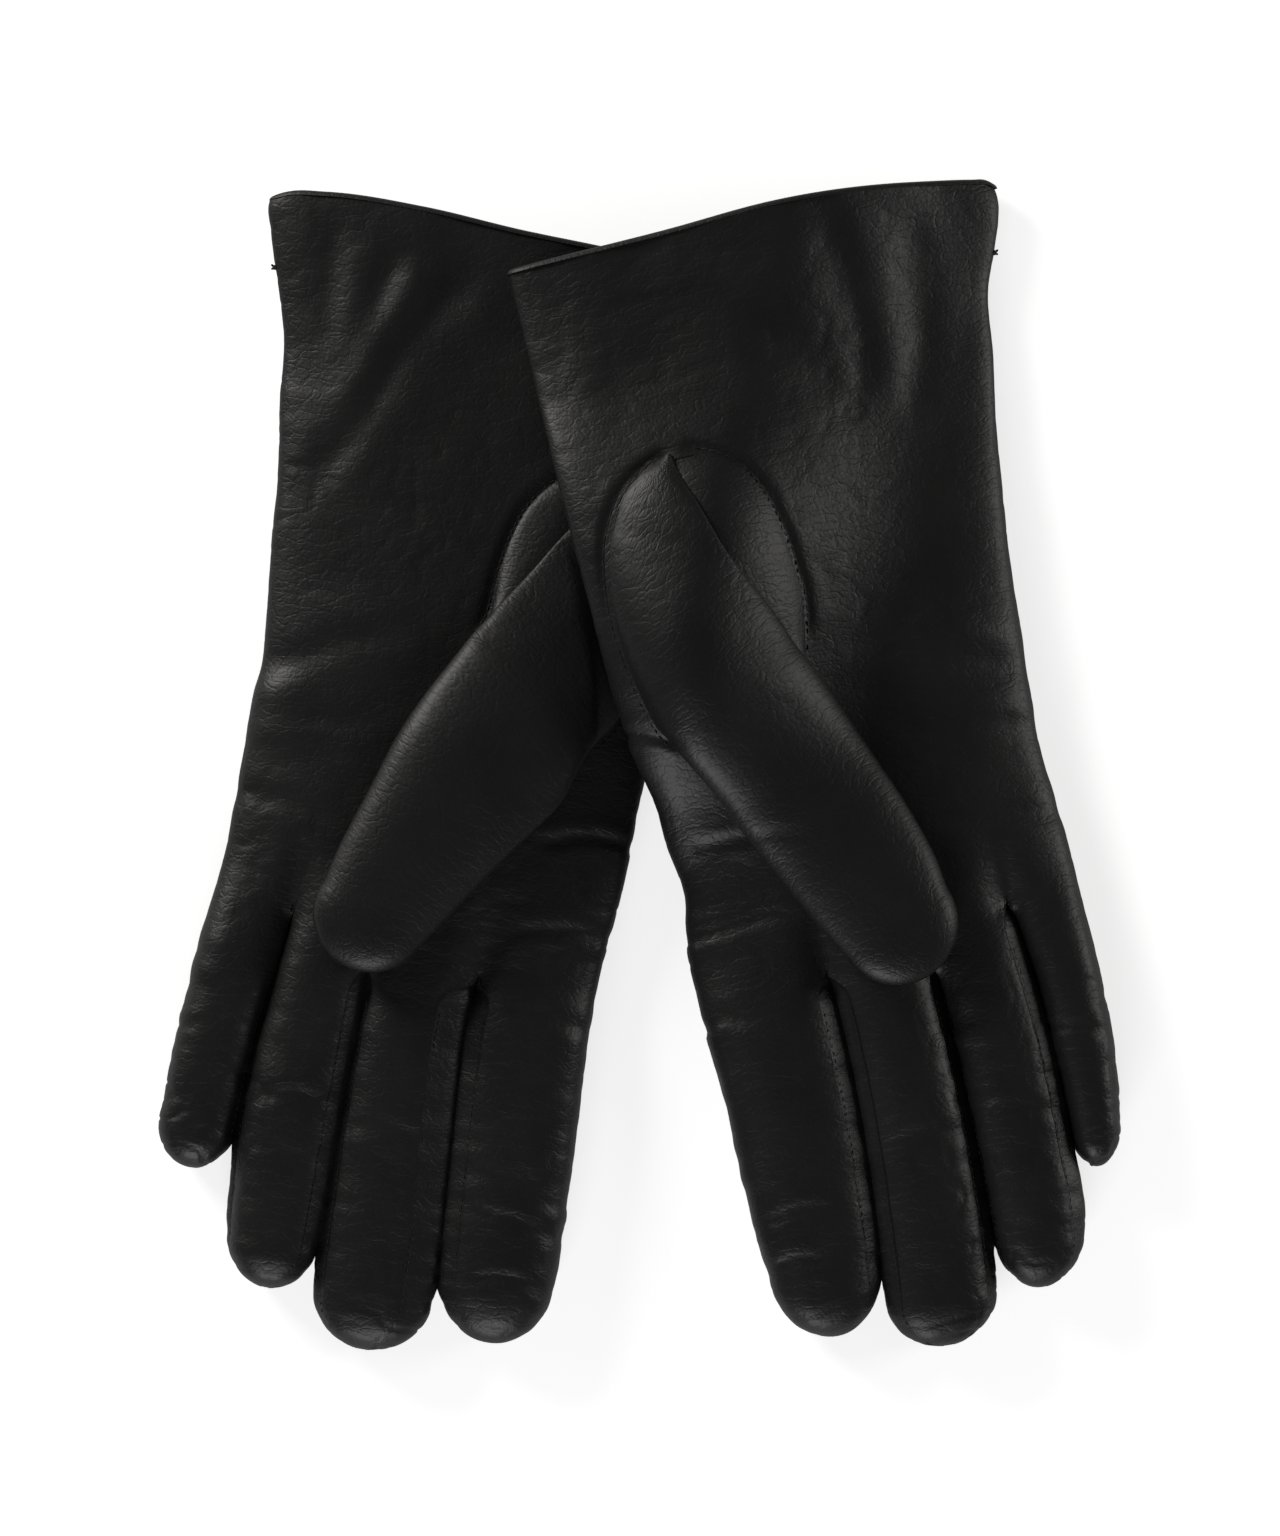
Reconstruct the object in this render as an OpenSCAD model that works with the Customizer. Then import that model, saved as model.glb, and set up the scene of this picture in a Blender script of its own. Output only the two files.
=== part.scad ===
// A pair of lined leather dress gloves, lying palm up and crossed at the cuffs.
// Each glove is drawn in its own frame: +y to the cuff, +x to the little finger, z up from the
// surface it lies on. world() then splays the glove, mirrors the left one and lifts the right
// one's cuff over the left glove.

/* [Leather] */
// Thickness of the leather
leather_t = 0.8; // [0.7:0.1:0.9]
// Thickness of the knitted lining
lining_t = 0.4; // [0.3:0.1:0.5]
// Depth of the hem that is turned in at the cuff
hem_depth = 16; // [14:1:18]

/* [Hand] */
// Height of the glove at the palm
palm_h = 16; // [15.5:0.5:16.5]
// Height of the glove at the cuff
cuff_h = 12; // [11.5:0.5:12.5]
// Height of the fingers
finger_h = 16; // [15:0.5:16.5]
// Height of the little finger
little_h = 15; // [14:0.5:16]

/* [Thumb] */
// Thickness of the thumb as it lies on the palm
thumb_h = 12.5; // [11.5:0.5:13]
// Radius of the thumb's rounded end, seen from above
thumb_r = 14.5; // [14:0.25:14.75]
// Distance from the thumb's fold to the middle of its rounded end
thumb_reach = 64; // [62:1:65]
// Angle between the thumb and the fingers
thumb_angle = 26.5; // [26:0.5:27]

/* [Layout] */
// Angle that each glove is turned outwards
splay = 9.5; // [9:0.5:10]
// Distance from the middle of the pair to the middle of each palm
spread = 50; // [50:0.25:51]

/* [Hidden] */
R = 1;
L = -1;
FINGERS = ["index", "middle", "ring", "little"];
HAND_NODES = ["hand_leather", "cuff_facing", "hand_lining", "side_tack", "thumb_root", "thumb_root_lining"];
THUMB_NODES = ["thumb_leather", "thumb_lining"];
FINGER_NODES = [
    "index_leather", "index_fourchette", "index_lining",
    "middle_palm_leaf", "middle_back_leaf", "middle_inner_fourchette", "middle_outer_fourchette",
    "middle_lining",
    "ring_palm_leaf", "ring_back_leaf", "ring_inner_fourchette", "ring_outer_fourchette", "ring_lining",
    "little_palm_leaf", "little_back_leaf", "little_fourchette", "little_lining"
];
GLOVE_NODES = concat(HAND_NODES, THUMB_NODES, FINGER_NODES);

gap = 0.2;                  // clearance between pieces that don't touch
lining_in = leather_t + 0.25; // depth of the lining under the leather's outside
knuckle_y = -56;            // where the index, middle and ring fingers bend
little_knuckle_y = -44;     // where the little finger bends
little_from = 0.6;          // share of the half width at which the little finger begins
thumb_dir = [sin(thumb_angle), -cos(thumb_angle)];
thumb_side = [cos(thumb_angle), sin(thumb_angle)];

// Edge on the thumb's side of the hand, as [y, x]
radial_right = [[-56, -44], [-35, -45.3], [-25, -44], [-12, -46], [0, -47.2], [10, -50], [25, -53],
    [50, -55], [85, -57.7], [132, -61]];
radial_left = [[-56, -48], [-38, -48.3], [-20, -49.8], [0, -51], [25, -53], [50, -55], [85, -57.7],
    [132, -61]];
// Edge on the little finger's side of the hand, as [y, x]
ulnar_right = [[-44, 53], [-30, 51.5], [-10, 49.5], [30, 48.5], [48, 49], [78, 51.5], [95, 53.5],
    [111, 55], [120, 58.5], [127, 60.5], [132, 61], [136, 59.5]];
ulnar_left = [[-44, 49.8], [-30, 48], [-10, 47.5], [18, 46.8], [46, 49], [66, 50.5], [82, 53],
    [100, 55.5], [111, 59], [117, 61], [124, 62.5], [130, 63.5], [134, 62]];
// End of the cuff across the glove, as [share of the half width, y]
cuff_right = [[-1, 132], [-0.35, 134.8], [0.08, 137.4], [0.57, 138.8], [0.75, 137.8], [0.92, 136],
    [1, 133.5]];
cuff_left = [[-1, 129], [-0.35, 131.5], [0, 132.3], [0.4, 134], [0.8, 133.5], [1, 131.5]];
// Height of the hand along its length, as [y, z]
hand_height = [[-56, finger_h], [-20, palm_h], [30, palm_h], [70, (palm_h + cuff_h) / 2], [100, cuff_h],
    [140, cuff_h]];

// Each finger: bend line, tip, tip radius, height, then both edges as [y, x]
finger_right = [
    [knuckle_y, -137.5, 13, finger_h,
        [[-137, -36], [-120, -38.7], [-100, -41], [-80, -42], [-56, -44]],
        [[-137, -13.5], [-120, -12], [-100, -11], [-80, -10.8], [-56, -11]]],
    [knuckle_y, -144.3, 12, finger_h,
        [[-144, -11.5], [-125, -10.8], [-100, -9.8], [-80, -9.3], [-56, -9.5]],
        [[-144, 15.5], [-120, 15.6], [-100, 15.6], [-80, 15], [-56, 13.8]]],
    [knuckle_y, -134, 11, finger_h,
        [[-134, 18], [-115, 17.2], [-95, 17.2], [-75, 16.4], [-56, 15]],
        [[-134, 37], [-120, 38.8], [-100, 38.8], [-80, 37.6], [-56, 34]]],
    [little_knuckle_y, -107, 9, little_h,
        [[-107, 40], [-90, 40.2], [-80, 39.8], [-65, 38.4], [-44, 36]],
        [[-107, 51.5], [-95, 53.2], [-80, 54.2], [-60, 54], [-44, 52.8]]]
];
finger_left = [
    [knuckle_y, -137, 13, finger_h,
        [[-137, -48], [-115, -49.5], [-95, -49.3], [-70, -48.3], [-56, -48]],
        [[-137, -23], [-115, -21.8], [-90, -19.7], [-70, -18.4], [-56, -18]]],
    [knuckle_y, -144, 12, finger_h,
        [[-144, -19], [-125, -19.8], [-115, -19.8], [-90, -18], [-70, -16.8], [-56, -16.4]],
        [[-144, 7.5], [-115, 7.8], [-90, 8.3], [-56, 8.8]]],
    [knuckle_y, -133, 11, finger_h,
        [[-133, 10.5], [-110, 9.6], [-90, 9.8], [-56, 10.4]],
        [[-133, 30], [-118, 31.4], [-100, 32.4], [-80, 31.6], [-56, 29.6]]],
    [little_knuckle_y, -107, 9, little_h,
        [[-107, 35.5], [-90, 34.4], [-75, 33.6], [-60, 32], [-44, 31.2]],
        [[-107, 51.5], [-95, 53.1], [-80, 52.8], [-60, 51.3], [-44, 49.8]]]
];

// Edges of the thumb's root, from the top of its seam to the fold, as [share of the way, x, y]
root_left_edge = [[0, -34, 81], [0.15, -43, 74], [0.35, -48.3, 60], [0.55, -49.6, 45], [0.78, -46.5, 26]];
root_right_edge = [[0, -31, 80], [0.15, -27, 69], [0.35, -20.5, 57], [0.55, -14.5, 45.5], [0.78, -10, 36]];

// Columns across the hand (share of the half width) and rows along it (share of the length)
columns = [-1, -0.985, -0.93, -0.8, -0.6, -0.3, 0, 0.3, 0.58, 0.63, 0.8, 0.93, 0.985, 1];
rows = [0, 0.035, 0.083, 0.125, 0.19, 0.27, 0.37, 0.48, 0.58, 0.68, 0.79, 0.88, 0.95, 1];
hem_rows = 2;               // rows[hem_rows] is the hem's depth
hole_rows = [6, 7];         // rows and columns left open where the thumb joins the hand
hole_columns = [3, 4];
finger_rows = [0, 0.22, 0.45, 0.67, 0.83, 0.92, 0.97, 0.993, 1];
thumb_rows = [0, 0.25, 0.5, 0.72, 0.84, 0.92, 0.97, 0.993, 1];
seam_angle = 30;            // where a finger's seams lie, up from its side

// Stack of the left glove under the right one along the pair, as [y, z]
stack = [[-34, 0], [-24, 1.5], [-12, 6], [0, 11.5], [10, 15.5], [20, 19], [32, 21], [60, 21], [78, 18],
    [92, 14.5], [108, 13], [145, 12.6]];
fold_half = 18.6;           // half the width of the thumb at its fold
drape = 58;                 // width over which the right glove comes down beside the left one

function smooth(t) = let (u = min(1, max(0, t))) u * u * (3 - 2 * u);
function mix(a, b, t) = a + (b - a) * t;
function power(v, n) = sign(v) * pow(abs(v), n);
function radial(side) = side == R ? radial_right : radial_left;
function ulnar(side) = side == R ? ulnar_right : ulnar_left;
function finger(side, i) = side == R ? finger_right[i] : finger_left[i];
function tip_centre(side) = side == R ? [6, -40] : [9, -38];
function fold_point(side) = tip_centre(side) - thumb_reach * thumb_dir;

// The left glove's inner edge, and how far the right glove is lifted at a place on the pair
function left_edge_x(y) = 0.3 + (y + 8.4) * 0.246;
function lift(x, y) = lookup(y, stack) * (1 - smooth((x - left_edge_x(y) + 4) / drape));
function world(side, p) =
    let (x = spread + cos(splay) * p[0] - sin(splay) * p[1], y = sin(splay) * p[0] + cos(splay) * p[1])
    [side * x, y, p[2] + (side == R ? lift(x, y) : 0)];

// Height left for the left glove under the right one, which lies on the root of its thumb
function right_edge_x(y) = -1.7 - 0.26 * y;
function ceiling(side, c) =
    let (
        x = -(spread + cos(splay) * c[0] - sin(splay) * c[1]),
        y = sin(splay) * c[0] + cos(splay) * c[1],
        inside = x - right_edge_x(y)
    )
    side == R ? 100 : lift(x, y) - 0.8 + 5 * (1 - smooth(inside / 6)) + 1.5 * max(0, -inside);

// Rounded profiles across the hand: the palm side is domed and the back is flat where it rests
function dome(a) = pow(max(0, 1 - pow(abs(a), 2.4)), 1 / 2.4);
function keel(a) = pow(max(0, 1 - pow(max(0, (abs(a) - 0.55) / 0.45), 2.4)), 1 / 2.4);
function mid(h) = 0.42 * h;

function hand_end(a) = a < little_from ? knuckle_y : little_knuckle_y;
function hand_point(side, a, top, v, depth) =
    let (
        y = mix(lookup(a, side == R ? cuff_right : cuff_left), hand_end(a) + gap, v),
        xl = lookup(y, radial(side)) + depth,
        xr = lookup(y, ulnar(side)) - depth,
        h = lookup(y, hand_height),
        z = top ? mid(h) + (h - mid(h) - depth) * dome(a) : mid(h) - (mid(h) - depth) * keel(a)
    )
    world(side, [(xl + xr) / 2 + (xr - xl) / 2 * a, y, z]);
function hand_ring(side, v, depth) = concat(
    [for (a = columns) hand_point(side, a, false, v, depth)],
    [for (i = [len(columns) - 2:-1:1]) hand_point(side, columns[i], true, v, depth)]
);
// Height of the palm leather at a place on the glove
function palm_z(side, x, y) =
    let (
        xl = lookup(y, radial(side)),
        xr = lookup(y, ulnar(side)),
        a = max(-1, min(1, (2 * x - xl - xr) / (xr - xl))),
        h = lookup(y, hand_height)
    )
    mid(h) + (h - mid(h)) * dome(a);

// One ring of a finger between two angles, the angle running from the outer side over the palm side
function finger_half(side, i, y, depth) =
    let (
        f = finger(side, i),
        r = f[2],
        full = sqrt(max(0, 1 - pow(max(0, f[1] + depth + r - y) / r, 2))),
        xl = lookup(y, f[4]),
        xr = lookup(y, f[5])
    )
    [(xl + xr) / 2, max(0.2, ((xr - xl) / 2 - depth) * full), f[3], pow(full, 0.8)];
function finger_point(side, i, y, angle, depth) =
    let (
        s = finger_half(side, i, y, depth),
        zc = 0.45 * s[2],
        up = max(0.1, (s[2] - zc - depth) * s[3]),
        down = max(0.1, (zc - depth) * s[3]),
        n = 2 / 2.7
    )
    world(side, [
        s[0] + s[1] * power(cos(angle), n),
        y,
        zc + (sin(angle) > 0 ? up : down) * power(sin(angle), n)
    ]);
function finger_grid(side, i, from, to, steps, depth, last) = [
    for (v = finger_rows) let (y = mix(finger(side, i)[0] - gap, finger(side, i)[1] + depth, v)) [
        for (k = [0:last]) finger_point(side, i, y, mix(from, to, k / steps), depth)
    ]
];

// One ring of the thumb beyond its fold
function thumb_floor() = palm_h + 0.7;
function thumb_point(side, v, angle, depth) =
    let (
        s = mix(2 * gap, thumb_reach + thumb_r - depth, v),
        full = sqrt(max(0, 1 - pow(max(0, s + depth - thumb_reach) / thumb_r, 2))),
        w = max(0.2, (mix(fold_half, thumb_r, smooth(s / thumb_reach)) - depth) * full),
        h = max(0.1, (thumb_h / 2 - depth) * pow(full, 0.8)),
        n = 2 / 2.5,
        c = fold_point(side) + s * thumb_dir + w * power(cos(angle), n) * thumb_side
    )
    world(side, [c[0], c[1], thumb_floor() + thumb_h / 2 + h * power(sin(angle), n)]);
function thumb_grid(side, steps, depth) = [
    for (v = thumb_rows) [for (k = [0:steps - 1]) thumb_point(side, v, 360 * k / steps, depth)]
];

// The root is an arch over the palm, from the top of the thumb's seam to the fold
function edge_at(table, q) =
    [lookup(q, [for (e = table) [e[0], e[1]]]), lookup(q, [for (e = table) [e[0], e[2]]])];
function root_edge(side, table, q, sign_w) =
    let (end = fold_point(side) + sign_w * fold_half * thumb_side)
    edge_at(concat(table, [[1, end[0], end[1]]]), q);
function root_point(side, q, t, depth) =
    let (
        l = root_edge(side, root_left_edge, q, -1),
        r = root_edge(side, root_right_edge, q, 1),
        c = mix(l, r, t),
        base = palm_z(side, c[0], c[1]) + 0.7 + leather_t,
        arch = pow(max(0, 1 - pow(abs(2 * t - 1), 2.5)), 1 / 2.5),
        rise = min(thumb_floor() + thumb_h, ceiling(side, c)) - base
    )
    world(side, [c[0], c[1], base + max(1, rise * smooth(q * 1.1)) * arch - depth]);
function root_grid(side, depth) = [
    for (q = [0, 0.1, 0.22, 0.4, 0.6, 0.8, 1]) [
        for (t = [1, 0.94, 0.82, 0.66, 0.5, 0.34, 0.18, 0.06, 0]) root_point(side, q, t, depth)
    ]
];

// A sheet between two grids of points, outer and inner, which may close on itself round its columns
function at(layer, i, j, nr, nc) = layer * nr * nc + i * nc + (j + nc) % nc;
function quad(a, b, c, d) = [[a, b, c], [a, c, d]];
function flat(list) = [for (l = list) each l];
function is_open(holes, i, j) = len([for (h = holes) if (h[0] == i && h[1] == j) 1]) > 0;
module sheet(side, outer, inner, wrap = false, holes = []) {
    nr = len(outer);
    nc = len(outer[0]);
    last = wrap ? nc - 1 : nc - 2;
    cells = [for (i = [0:nr - 2], j = [0:last]) if (!is_open(holes, i, j)) [i, j]];
    skins = [for (c = cells) let (i = c[0], j = c[1]) each concat(
        quad(at(0, i, j, nr, nc), at(0, i + 1, j, nr, nc), at(0, i + 1, j + 1, nr, nc),
            at(0, i, j + 1, nr, nc)),
        quad(at(1, i, j, nr, nc), at(1, i, j + 1, nr, nc), at(1, i + 1, j + 1, nr, nc),
            at(1, i + 1, j, nr, nc))
    )];
    ends = [for (c = cells) let (i = c[0], j = c[1]) each concat(
        i == 0 || is_open(holes, i - 1, j)
            ? quad(at(0, i, j, nr, nc), at(0, i, j + 1, nr, nc), at(1, i, j + 1, nr, nc),
                at(1, i, j, nr, nc)) : [],
        i == nr - 2 || is_open(holes, i + 1, j)
            ? quad(at(0, i + 1, j + 1, nr, nc), at(0, i + 1, j, nr, nc), at(1, i + 1, j, nr, nc),
                at(1, i + 1, j + 1, nr, nc)) : [],
        (!wrap && j == 0) || is_open(holes, i, j - 1)
            ? quad(at(0, i + 1, j, nr, nc), at(0, i, j, nr, nc), at(1, i, j, nr, nc),
                at(1, i + 1, j, nr, nc)) : [],
        (!wrap && j == last) || is_open(holes, i, j + 1)
            ? quad(at(0, i, j + 1, nr, nc), at(0, i + 1, j + 1, nr, nc), at(1, i + 1, j + 1, nr, nc),
                at(1, i, j + 1, nr, nc)) : []
    )];
    faces = concat(skins, ends);
    polyhedron(
        points = concat(flat(outer), flat(inner)),
        faces = side == R ? faces : [for (f = faces) [f[2], f[1], f[0]]]
    );
}

// Rows of the hand between two of them, the first one pulled back by a share of the length
function part_rows(from, to, back) = [for (i = [from:to]) rows[i] + (i == from ? back : 0)];
// Columns of a hand ring that lie over the thumb's hole, counted round the ring
function thumb_hole(first_row) = [
    for (i = hole_rows, j = hole_columns) [i - first_row, 2 * len(columns) - 3 - j]
];
module hand_sheet(side, some_rows, depth, thickness, holes) {
    sheet(
        side,
        [for (v = some_rows) hand_ring(side, v, depth)],
        [for (v = some_rows) hand_ring(side, v, depth + thickness)],
        wrap = true,
        holes = holes
    );
}

module hand_leather(side) {
    color("#18171a") hand_sheet(side, rows, 0, leather_t, thumb_hole(0));
}

module cuff_facing(side) {
    color("#1d1c1f") hand_sheet(side, part_rows(0, hem_rows, 0), lining_in, leather_t - 0.1, []);
}

module hand_lining(side) {
    lined_rows = part_rows(hem_rows, len(rows) - 1, 0.002);
    color("#2b2a2c") hand_sheet(side, lined_rows, lining_in, lining_t, thumb_hole(hem_rows));
}

// Thread knot that closes the side seam at the hem
module side_tack(side) {
    y = side == R ? 119 : 115;
    x = lookup(y, ulnar(side)) + 1.2;
    color("#0c0c0d") translate(world(side, [x, y, mid(cuff_h)])) sphere(r = 0.9, $fn = 12);
}

module thumb_root(side) {
    color("#18171a") sheet(side, root_grid(side, 0), root_grid(side, leather_t));
}

module thumb_root_lining(side) {
    color("#2b2a2c") sheet(side, root_grid(side, lining_in), root_grid(side, lining_in + lining_t));
}

module thumb_leather(side) {
    color("#18171a") sheet(side, thumb_grid(side, 14, 0), thumb_grid(side, 14, leather_t), wrap = true);
}

module thumb_lining(side) {
    depth = lining_in;
    color("#2b2a2c")
        sheet(side, thumb_grid(side, 14, depth), thumb_grid(side, 14, depth + lining_t), wrap = true);
}

// A strip of leather along a finger between two angles round it
module strip(side, i, from, to, steps) {
    seam = 0.4;
    color("#18171a") sheet(
        side,
        finger_grid(side, i, from + seam, to - seam, steps, 0, steps),
        finger_grid(side, i, from + seam, to - seam, steps, leather_t, steps)
    );
}

module palm_leaf(side, i) {
    far = i == 3 ? 0 : seam_angle;
    strip(side, i, far, 180 - seam_angle, 6);
}

module back_leaf(side, i) {
    far = i == 3 ? 360 : 360 - seam_angle;
    strip(side, i, 180 + seam_angle, far, 6);
}

// Side strips: inner is towards the thumb, outer towards the little finger
module inner_fourchette(side, i) {
    strip(side, i, 180 - seam_angle, 180 + seam_angle, 3);
}

module outer_fourchette(side, i) {
    strip(side, i, -seam_angle, seam_angle, 3);
}

module finger_lining(side, i) {
    depth = lining_in;
    color("#2b2a2c") sheet(
        side,
        finger_grid(side, i, 0, 360, 12, depth, 11),
        finger_grid(side, i, 0, 360, 12, depth + lining_t, 11),
        wrap = true
    );
}

// The index leather wraps from the palm side round the finger's free side to the back
module index_leather(side) {
    strip(side, 0, seam_angle, 360 - seam_angle, 16);
}

module glove_node(side, name) {
    if (name == "hand_leather") hand_leather(side);
    if (name == "cuff_facing") cuff_facing(side);
    if (name == "hand_lining") hand_lining(side);
    if (name == "side_tack") side_tack(side);
    if (name == "thumb_root") thumb_root(side);
    if (name == "thumb_root_lining") thumb_root_lining(side);
    if (name == "thumb_leather") thumb_leather(side);
    if (name == "thumb_lining") thumb_lining(side);
    if (name == "index_leather") index_leather(side);
    if (name == "index_fourchette") outer_fourchette(side, 0);
    if (name == "little_fourchette") inner_fourchette(side, 3);
    for (i = [0:3]) {
        if (name == str(FINGERS[i], "_palm_leaf")) palm_leaf(side, i);
        if (name == str(FINGERS[i], "_back_leaf")) back_leaf(side, i);
        if (name == str(FINGERS[i], "_inner_fourchette")) inner_fourchette(side, i);
        if (name == str(FINGERS[i], "_outer_fourchette")) outer_fourchette(side, i);
        if (name == str(FINGERS[i], "_lining")) finger_lining(side, i);
    }
}

for (n = GLOVE_NODES) {
    glove_node(L, n);
    glove_node(R, n);
}
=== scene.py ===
import bpy
import math
import numpy as np
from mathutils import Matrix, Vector
from mathutils.kdtree import KDTree

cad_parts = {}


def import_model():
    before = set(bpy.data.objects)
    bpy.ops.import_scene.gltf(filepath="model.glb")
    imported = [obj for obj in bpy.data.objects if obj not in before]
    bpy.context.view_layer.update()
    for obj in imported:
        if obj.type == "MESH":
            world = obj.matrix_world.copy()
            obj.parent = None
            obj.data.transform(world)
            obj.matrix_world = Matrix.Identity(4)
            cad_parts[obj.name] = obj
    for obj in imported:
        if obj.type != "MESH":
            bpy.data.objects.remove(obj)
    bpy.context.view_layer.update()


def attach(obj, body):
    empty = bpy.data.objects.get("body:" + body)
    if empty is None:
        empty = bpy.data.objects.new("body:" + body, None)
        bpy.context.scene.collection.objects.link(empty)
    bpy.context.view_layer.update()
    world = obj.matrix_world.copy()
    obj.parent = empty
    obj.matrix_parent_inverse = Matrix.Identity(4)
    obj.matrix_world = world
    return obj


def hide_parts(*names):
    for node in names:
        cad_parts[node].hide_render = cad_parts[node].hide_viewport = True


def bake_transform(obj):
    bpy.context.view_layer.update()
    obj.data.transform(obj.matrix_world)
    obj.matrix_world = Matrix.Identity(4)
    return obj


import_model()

SPLAY = math.radians(9.5)
SPREAD = 50.0
LEATHER = 0.75
PALM_H = 16.0
CUFF_H = 12.0
TOP_AT_THUMB = 29.0
THUMB_REACH = 64.0
THUMB_ANGLE = math.radians(26.5)
THUMB_DIR = np.array([math.sin(THUMB_ANGLE), -math.cos(THUMB_ANGLE)])
THUMB_SIDE = np.array([math.cos(THUMB_ANGLE), math.sin(THUMB_ANGLE)])
FINGERS = ["index", "middle", "ring", "little"]
HEM = 16.0
LINING_DEPTH = 1.3
ROOT_LINING_FROM = 2.8
GROOVE_DEEP = 1.0
GROOVE_WIDE = 1.3
SEAM_DENT = 0.65
HEM_ROLL = 0.85
HOLE_INSET = 1.6
DRAPE = 58
FLOOR_Z = -0.0002
COLUMNS = [36, 28, 26, 24]

# Height of the left glove under the right one along the pair, and of the hand along a glove
STACK = [(-34, 0), (-24, 1.5), (-12, 6), (0, 11.5), (10, 15.5), (20, 19), (32, 21), (60, 21), (78, 18),
         (92, 14.5), (108, 13), (145, 12.6)]
HAND_HEIGHT = [(-60, 16), (-20, PALM_H), (30, PALM_H), (70, 14), (100, CUFF_H), (145, CUFF_H)]

# What differs between the two gloves: outlines as (y, x), the cuff's end as (share, y), the forks as
# (share across the hand, y), each finger's tip, radius, edges and the angles of its seams, and the
# thumb's two edges, the far side of its seam and its rounded end as (x, y). A puff is (x, y, half width,
# half length, height), and a crease is (x, y, end x, end y, depth, half width).
RIGHT = {
    "name": "right", "side": 1,
    "radial": [(-60, -44), (-35, -45.3), (-25, -44), (-12, -46), (0, -47.2), (10, -50), (25, -53),
               (50, -55), (85, -57.7), (132, -61)],
    "ulnar": [(-60, 53), (-30, 51.5), (-10, 49.5), (30, 48.5), (48, 49), (78, 51.5), (95, 53.5), (111, 55),
              (120, 58.3), (127, 60.3), (132, 61), (138, 59.5)],
    "cuff": [(-1, 132), (-0.35, 134.8), (0.08, 137.4), (0.57, 137.6), (0.75, 136.9), (0.92, 136),
             (0.97, 135.6), (1, 134.4)],
    "forks": [(-0.33, -50.5), (0.19, -52), (0.63, -40.5)],
    "fingers": [
        (-137.5, 13, [(-137, -36), (-120, -38.7), (-100, -41), (-80, -42), (-60, -44), (-40, -45)],
         [(-137, -13.5), (-120, -11.2), (-100, -10.2), (-80, -10.1), (-60, -11), (-48, -11.9)], 180, 47),
        (-144.3, 12, [(-144, -11.5), (-125, -10.6), (-100, -9.7), (-80, -9.6), (-60, -10.6), (-48, -11.7)],
         [(-144, 15.5), (-120, 16.2), (-100, 16.2), (-80, 15.6), (-60, 14.3), (-48, 13.2)], 133, 36),
        (-134, 11, [(-134, 18), (-115, 17.6), (-95, 16.8), (-75, 15.8), (-60, 14.6), (-48, 13.3)],
         [(-134, 37), (-120, 39.4), (-100, 39.6), (-80, 39), (-60, 37.4), (-40, 34.6)], 160, 49),
        (-107, 9, [(-107, 40.4), (-90, 40), (-75, 39.2), (-60, 37.8), (-46, 35.6), (-38, 34.6)],
         [(-107, 51.5), (-95, 53.2), (-80, 54.2), (-60, 54), (-44, 52.8), (-36, 52)], 165, 0),
    ],
    "thumb_left": [(-31, 82), (-37, 79.5), (-43, 74), (-48, 64), (-49.8, 52), (-49.3, 40), (-46.8, 27),
                   (-43.5, 17), (-38.5, 9), (-31.5, -3), (-26.5, -13), (-20.5, -24), (-14, -35),
                   (-7, -46.5)],
    "thumb_right": [(-29.5, 81.7), (-28, 76), (-24.7, 68), (-21, 58), (-17.5, 51), (-13.5, 44), (-10, 37.5),
                    (-7.5, 32), (-3.5, 25), (3, 11), (8, 0), (13, -11), (17.3, -23), (19.5, -33)],
    "gusset": [(-25, 82.5), (-18, 79.4), (-12.8, 75), (-9.4, 70), (-7.2, 64), (-5.6, 58), (-4.4, 51),
               (-3.5, 44), (-3.9, 37), (-5, 29)],
    "thumb_end": (6, -40), "thumb_r": 14.5, "tack_y": 119,
    "puffs": [(31, 27, 13, 10, 2.3), (34, 8, 12, 6, 1.0), (-47, 104, 6, 10, 0.7), (38, 62, 9, 16, 0.6)],
    "creases": [(-52, 15, -39, 12, 1.5, 1.6), (-38, -13, -14, -15, 0.8, 2.2),
                (-45, -35, -20, -33, 0.9, 2.2), (-44, -58, -34, -56, 0.9, 2),
                (-40, -108, -22, -106, 0.7, 2), (-38, -118, -24, -119, 0.6, 1.8),
                (16, 134, 20, 92, 1.1, 5), (38, 128, 33, 84, 1.0, 5), (-10, 120, 10, 92, 0.9, 6),
                (8, 30, 46, 18, 0.8, 4), (16, 8, 48, 2, 0.7, 3.5), (22, -16, 50, -20, 0.7, 3),
                (-6, -92, 14, -94, 0.5, 1.8), (18, -88, 36, -92, 0.5, 1.8), (40, -72, 53, -74, 0.5, 1.6)],
}
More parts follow.
